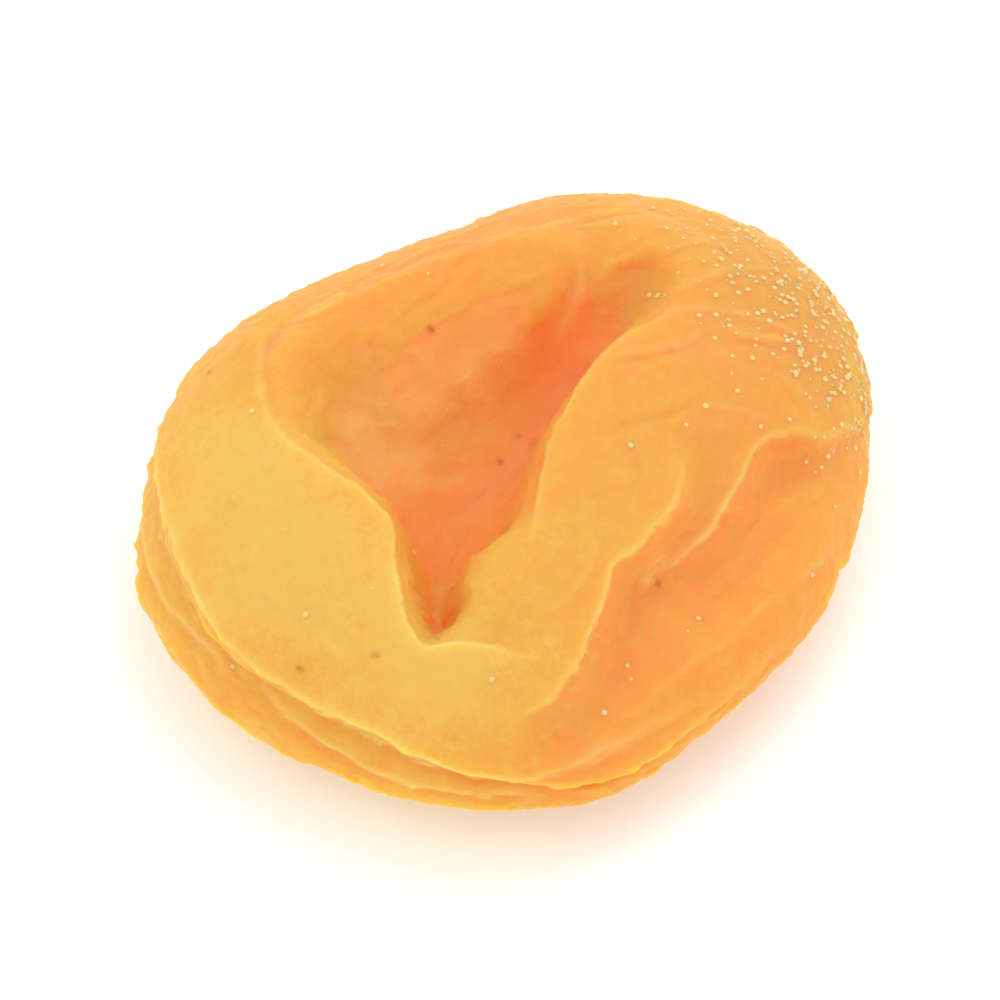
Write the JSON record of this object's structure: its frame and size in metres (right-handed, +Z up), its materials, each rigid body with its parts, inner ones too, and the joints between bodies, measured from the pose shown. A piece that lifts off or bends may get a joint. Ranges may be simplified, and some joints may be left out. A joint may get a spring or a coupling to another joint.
{
  "type": "dried apricot",
  "caption": "Whole sun-dried apricot with the stone pushed out: a squashed ring of leathery flesh around a V-shaped hollow, with an overhanging lip and a shallow side fold.",
  "frame": {"origin": "on the flat the fruit rests on, under the middle of its outline", "axes": "+Z up from the surface it rests on; +X along its longer side, towards the far shoulder of the hollow; +Y towards the smooth back rim"},
  "size_m": [0.0412, 0.0346, 0.0122],
  "materials": {
    "flesh": "satin"
  },
  "bodies": {
    "root": {"dried_apricot": "flesh"}
  },
  "joints": []
}
